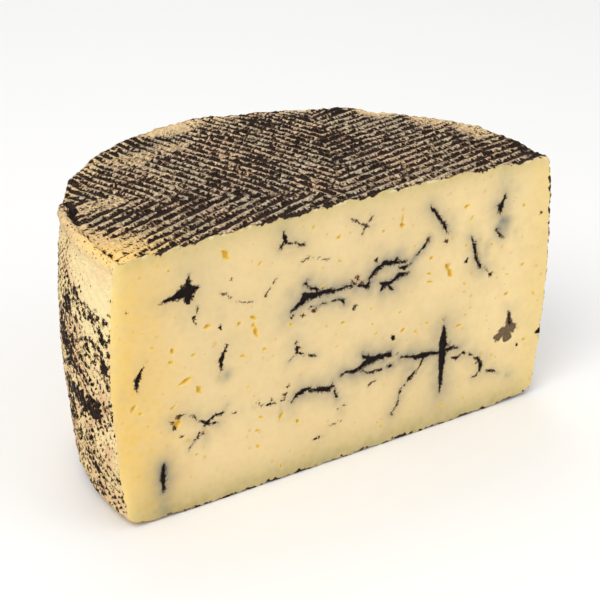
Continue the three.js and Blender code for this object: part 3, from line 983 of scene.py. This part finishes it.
def give_numbers(mesh, numbering, rind, face):
    """Writes what the materials read: one number or colour for each vertex.

    The cut's outline belongs to both the rind and the face, so one of them gives its number."""
    inside = np.zeros(face.shape, bool)
    inside[1:-1, 1:-1] = True

    def write(name, on_rind, on_face, chosen):
        width = np.shape(on_face)[1:]
        values = np.zeros((numbering.count, *width))
        values[: numbering.rind_count] = on_rind
        values[numbering.face.ravel()[chosen]] = on_face[chosen]
        if width:
            opaque = np.ones((numbering.count, 1))
            colours = np.concatenate([values, opaque], 1)
            mesh.attributes.new(name, "FLOAT_COLOR", "POINT").data.foreach_set("color", colours.ravel())
        else:
            mesh.attributes.new(name, "FLOAT", "POINT").data.foreach_set("value", values)

    on_all = np.ones(inside.size, bool)
    write("vein", FAR, face.vein, on_all)
    write("stain", 0, face.stain, on_all)
    write("eye", FAR, face.eye, on_all)
    write("brown", FAR, face.brown, on_all)
    write("smoke", FAR, face.smoke, on_all)
    within = inside.ravel()
    write("coat", rind.coat, face.crust, within)
    write("dust", rind.dust, np.zeros(inside.size), within)
    write("wear_cleared_in_highlight", rind.wear_cleared_in_highlight, np.zeros(inside.size), within)
    write("ground", rind.colour, face.colour, within)


def add_to_scene(name, data):
    thing = bpy.data.objects.new(name, data)
    bpy.context.scene.collection.objects.link(thing)
    return thing


def build_mesh():
    """The rind first, then the face between the rind's edges, cut back to its own relief."""
    numbering = Numbering()
    rind = Rind(numbering)
    place = np.zeros((numbering.count, 3))
    place[: numbering.rind_count] = rind.displaced(numbering)
    face = CutFace(numbering, place, rind.coat)
    cut_back = face.place.copy()
    cut_back[:, 1] = CUT_Y + face.recess
    place[numbering.face[1:-1, 1:-1]] = cut_back.reshape(*face.shape, 3)[1:-1, 1:-1]
    return make_mesh(numbering, rind, face, place)


cheese_mesh = build_mesh()
cheese = add_to_scene("cheese_half", cheese_mesh)


# ---------------------------------------------------------------------------------------------------------
# Materials.

class Graph:
    """A material's nodes. Each method adds one node and gives its output."""

    def __init__(self, name):
        self.material = bpy.data.materials.new(name)
        self.material.use_nodes = True
        self.nodes = self.material.node_tree.nodes
        self.links = self.material.node_tree.links
        self.nodes.clear()
        self.where = self.add("ShaderNodeTexCoord").outputs["Object"]

    def add(self, kind, **settings):
        node = self.nodes.new(kind)
        for name, value in settings.items():
            setattr(node, name, value)
        return node

    def feed(self, socket, value):
        if isinstance(value, bpy.types.NodeSocket):
            self.links.new(value, socket)
        else:
            socket.default_value = value

    def fill(self, node, values):
        for name, value in values.items():
            self.feed(node.inputs[name], value)
        return node

    def number(self, name):
        return self.add("ShaderNodeAttribute", attribute_name=name).outputs["Fac"]

    def colour(self, name):
        return self.add("ShaderNodeAttribute", attribute_name=name).outputs["Color"]

    def noise(self, size, detail=2.0, roughness=0.5):
        """Noise from 0 to 1 whose lumps are about size millimetres across."""
        values = {"Vector": self.where, "Scale": 1 / (size * MM), "Detail": detail, "Roughness": roughness}
        return self.fill(self.add("ShaderNodeTexNoise"), values).outputs["Fac"]

    def grains(self, size):
        """The distance from the nearest of scattered points, about size millimetres apart."""
        values = {"Vector": self.where, "Scale": 1 / (size * MM)}
        return self.fill(self.add("ShaderNodeTexVoronoi"), values).outputs["Distance"]

    def math(self, operation, a, b=0.0, c=0.0):
        node = self.add("ShaderNodeMath", operation=operation)
        for socket, value in zip(node.inputs, (a, b, c)):
            self.feed(socket, value)
        return node.outputs[0]

    def scaled(self, value, gain, offset):
        return self.math("MULTIPLY_ADD", value, gain, offset)

    def spread(self, value, low, high, start=0.0, end=1.0):
        """The value eased from start at low to end at high."""
        node = self.add("ShaderNodeMapRange", interpolation_type="SMOOTHSTEP")
        values = {"Value": value, "From Min": low, "From Max": high, "To Min": start, "To Max": end}
        return self.fill(node, values).outputs["Result"]

    def blend(self, share, a, b):
        node = self.add("ShaderNodeMix", data_type="RGBA")
        self.feed(node.inputs["Factor"], share)
        for socket, value in ((node.inputs[6], a), (node.inputs[7], b)):
            self.feed(socket, value if isinstance(value, bpy.types.NodeSocket) else (*value, 1.0))
        return node.outputs[2]

    def paint(self, base, colour, value, low, high, start=0.0, end=1.0):
        """The base painted with a colour: by start where the value is low, easing to end where it is high."""
        return self.blend(self.spread(value, low, high, start, end), base, linear(*colour))

    def bump(self, height, distance_mm, strength, under=None):
        node = self.add("ShaderNodeBump")
        self.fill(node, {"Distance": distance_mm * MM, "Strength": strength, "Height": height})
        if under is not None:
            self.feed(node.inputs["Normal"], under)
        return node.outputs["Normal"]

    def finish(self, colour, roughness, normal, constants):
        shader = self.add("ShaderNodeBsdfPrincipled")
        self.fill(shader, {"Base Color": colour, "Roughness": roughness, "Normal": normal, **constants})
        output = self.add("ShaderNodeOutputMaterial")
        self.links.new(shader.outputs["BSDF"], output.inputs["Surface"])
        return self.material


def paste_material():
    """The cut paste: pale, faintly cloudy and waxy, with near-black veins, grey stains and ochre eyes."""
    g = Graph("cheese_paste")
    cloud = g.noise(5.0, 3.0)
    fine = g.noise(0.8, 3.0, 0.6)
    ragged = g.scaled(fine, 0.9, -0.45)

    base = g.paint(g.colour("ground"), (226, 200, 146), cloud, 0.35, 0.7, 0.0, 0.35)
    base = g.paint(base, (250, 232, 186), g.grains(2.8), 0.05, 0.75, 0.0, 0.10)

    stain = g.math("MULTIPLY", g.number("stain"), g.spread(cloud, 0.2, 0.8, 0.75, 1.15))
    base = g.blend(g.math("MULTIPLY", stain, 0.95), base, linear(112, 120, 118))

    fleck = g.math("SUBTRACT", g.grains(4.6), g.scaled(cloud, 0.5, -0.16))
    base = g.paint(base, (224, 180, 92), fleck, -0.02, 0.05, 0.55, 0.0)

    eye = g.math("ADD", g.number("eye"), g.math("MULTIPLY", ragged, 0.35))
    base = g.paint(base, (252, 236, 198), eye, 0.05, 0.4, 0.15, 0.0)
    base = g.paint(base, (238, 200, 92), eye, -0.05, 0.18, 0.95, 0.0)
    # The eyes' walls are ochre; their middles are painted a deeper ochre, partly the wall's colour and partly
    # painted shade deep in the hole.
    base = g.paint(base, (214, 166, 58), eye, -0.55, -0.15, 0.75, 0.0)

    brown = g.scaled(ragged, 3.0, g.number("brown"))
    base = g.paint(base, (162, 112, 52), brown, 0.0, 0.45, 0.7, 0.0)
    base = g.paint(base, (48, 24, 12), brown, -0.25, 0.15, 0.92, 0.0)

    smoke = g.scaled(ragged, 0.5, g.number("smoke"))
    base = g.paint(base, (80, 58, 38), smoke, -0.2, 0.7, 0.92, 0.0)
    base = g.paint(base, (122, 104, 74), smoke, -1.5, -0.3, 0.6, 0.0)

    # Hair-thin branches run out from each vein along the middle line of a noise.
    hair = g.math("ABSOLUTE", g.math("SUBTRACT", g.noise(3.2, 3.0), 0.5))
    hair = g.scaled(hair, 9.0, g.scaled(g.number("vein"), 0.45, -0.25))
    vein = g.math("MINIMUM", g.scaled(ragged, 2.0, g.number("vein")), hair)
    base = g.paint(base, (92, 62, 42), vein, 0.0, 0.38, 0.8, 0.0)
    dark = g.spread(vein, -0.12, 0.12, 1.0, 0.0)
    base = g.blend(dark, base, g.blend(fine, linear(6, 4, 4), linear(30, 18, 14)))

    crust = g.scaled(ragged, 1.2, g.number("coat"))
    base = g.paint(base, (150, 112, 66), crust, -0.35, 0.0, 0.0, 0.6)
    base = g.paint(base, (44, 33, 28), crust, -0.03, 0.10)

    roughness = g.math("ADD", g.spread(cloud, 0.2, 0.8, 0.42, 0.52), g.math("MULTIPLY", dark, 0.1))
    normal = g.bump(g.noise(0.5, 2.0), 0.03, 0.5, g.bump(g.noise(3.0, 3.0), 0.10, 0.5))
    return g.finish(base, roughness, normal, {
        "Subsurface Weight": 0.3,
        "Subsurface Scale": 1.6 * MM,
        "Subsurface Radius": (1.0, 0.62, 0.28),
        "Specular IOR Level": 0.12,
    })


def rind_material():
    """The rind: dry cream to grey-beige, with a dark coat caught in the grooves of its print."""
    g = Graph("cheese_rind")
    fine = g.noise(0.75, 3.0, 0.62)
    speck = g.noise(0.32, 2.0, 0.6)
    broad = g.noise(6.0, 3.0)
    coat = g.number("coat")
    for grain, gain, offset in ((fine, 1.6, -0.8), (speck, 1.5, -0.75), (g.grains(1.5), -1.1, 0.46)):
        coat = g.math("ADD", coat, g.scaled(grain, gain, offset))
    dark = g.spread(coat, -0.04, 0.10)

    base = g.paint(g.colour("ground"), (248, 228, 182), speck, 0.40, 0.68, 0.0, 0.55)
    # Rust, pepper and fine roughness are held back at the bare corner and where the highlight is painted on
    # the side.
    rusty = g.math("MULTIPLY", g.number("wear_cleared_in_highlight"), g.spread(fine, 0.5, 0.72, 0.0, 0.45))
    base = g.blend(rusty, base, linear(168, 112, 66))
    dusty = g.spread(g.noise(1.1, 3.0, 0.7), 0.40, 0.58, 0.1, 0.85)
    base = g.blend(g.math("MULTIPLY", g.number("dust"), dusty), base, linear(128, 110, 90))
    base = g.paint(base, (112, 70, 38), coat, -0.18, 0.0, 0.0, 0.75)

    ink = g.blend(g.spread(broad, 0.38, 0.66), linear(8, 5, 4), linear(32, 23, 22))
    ink = g.paint(ink, (66, 40, 24), coat, 0.05, 0.35, 0.3, 0.0)
    ink = g.paint(ink, (118, 88, 64), speck, 0.52, 0.66, 0.0, 0.45)
    base = g.blend(dark, base, ink)

    peppered = g.math("MULTIPLY", g.number("wear_cleared_in_highlight"), g.spread(broad, 0.3, 0.65, 0.10, 0.36))
    pepper = g.math("SUBTRACT", g.grains(1.4), peppered)
    base = g.paint(base, (38, 25, 18), pepper, -0.08, 0.03, 0.9, 0.0)

    roughness = g.spread(dark, 0.0, 1.0, 0.62, 0.60)
    rough = g.bump(g.noise(0.45, 3.0, 0.65), 0.12, g.math("MULTIPLY", g.number("wear_cleared_in_highlight"), 0.8))
    normal = g.bump(dark, 0.08, 0.7, g.bump(fine, 0.2, 0.7, rough))
    return g.finish(base, roughness, normal, {"Specular IOR Level": 0.05})


cheese_mesh.materials.append(paste_material())
cheese_mesh.materials.append(rind_material())
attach(cheese, "root")
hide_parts(NODE)


# ---------------------------------------------------------------------------------------------------------
# The stage: a pale floor, soft studio light and the camera. Directions are an azimuth from straight in front
# of the cut face towards its right, and an elevation, both in degrees.

FLOOR_RADIUS, FLOOR_SIDES, FLOOR_GREY = 7.0, 64, 0.93
SKY_STRENGTH = 0.62
LIT_PLACE = Vector((0, 0, 0.05))
# Each light: its direction, distance, size, watts and colour.
LIGHTS = {
    "key": ((-60, 50), 1.3, 0.8, 7.8, (1.0, 0.98, 0.95)),
    "fill": ((35, 30), 1.5, 1.2, 3.6, (1, 1, 1)),
    "back": ((160, 55), 1.5, 1.0, 4.0, (1, 1, 1)),
}
TARGET = Vector((-20.5, CUT_Y, 72.4)) * MM
CAMERA_DIRECTION = (-32.77, 25.86)
CAMERA_DISTANCE = 566.9 * MM
CAMERA_LENS = 95.0


def make_floor():
    turns = [2 * math.pi * i / FLOOR_SIDES for i in range(FLOOR_SIDES)]
    ring = [(FLOOR_RADIUS * math.cos(turn), FLOOR_RADIUS * math.sin(turn), 0) for turn in turns]
    mesh = bpy.data.meshes.new("floor")
    mesh.from_pydata(ring, [], [list(range(FLOOR_SIDES))])
    material = bpy.data.materials.new("floor")
    material.use_nodes = True
    shader = material.node_tree.nodes["Principled BSDF"]
    shader.inputs["Base Color"].default_value = (FLOOR_GREY, FLOOR_GREY, FLOOR_GREY, 1)
    shader.inputs["Roughness"].default_value = 0.9
    mesh.materials.append(material)
    add_to_scene("floor", mesh)


def stand_and_aim(thing, target, direction, distance):
    """Puts the thing this far from the target in this direction, looking at it."""
    a, e = (math.radians(degrees) for degrees in direction)
    back = Vector((math.sin(a) * math.cos(e), -math.cos(a) * math.cos(e), math.sin(e)))
    thing.location = target + back * distance
    thing.rotation_mode = "QUATERNION"
    thing.rotation_quaternion = (-back).to_track_quat("-Z", "Y")


def make_lights():
    for name, (direction, distance, size, watts, colour) in LIGHTS.items():
        lamp = bpy.data.lights.new(name, "AREA")
        lamp.shape = "DISK"
        lamp.size = size
        lamp.energy = watts
        lamp.color = colour
        stand_and_aim(add_to_scene(name, lamp), LIT_PLACE, direction, distance)


def make_world():
    world = bpy.data.worlds.new("studio")
    world.use_nodes = True
    background = world.node_tree.nodes["Background"]
    background.inputs["Color"].default_value = (1.0, 1.0, 1.0, 1)
    background.inputs["Strength"].default_value = SKY_STRENGTH
    bpy.context.scene.world = world


def make_camera():
    camera = bpy.data.cameras.new("camera")
    camera.lens = CAMERA_LENS
    camera.clip_start, camera.clip_end = 0.01, 50
    thing = add_to_scene("camera", camera)
    stand_and_aim(thing, TARGET, CAMERA_DIRECTION, CAMERA_DISTANCE)
    bpy.context.scene.camera = thing


make_floor()
make_world()
make_lights()
make_camera()
bpy.context.scene.view_settings.view_transform = "Standard"
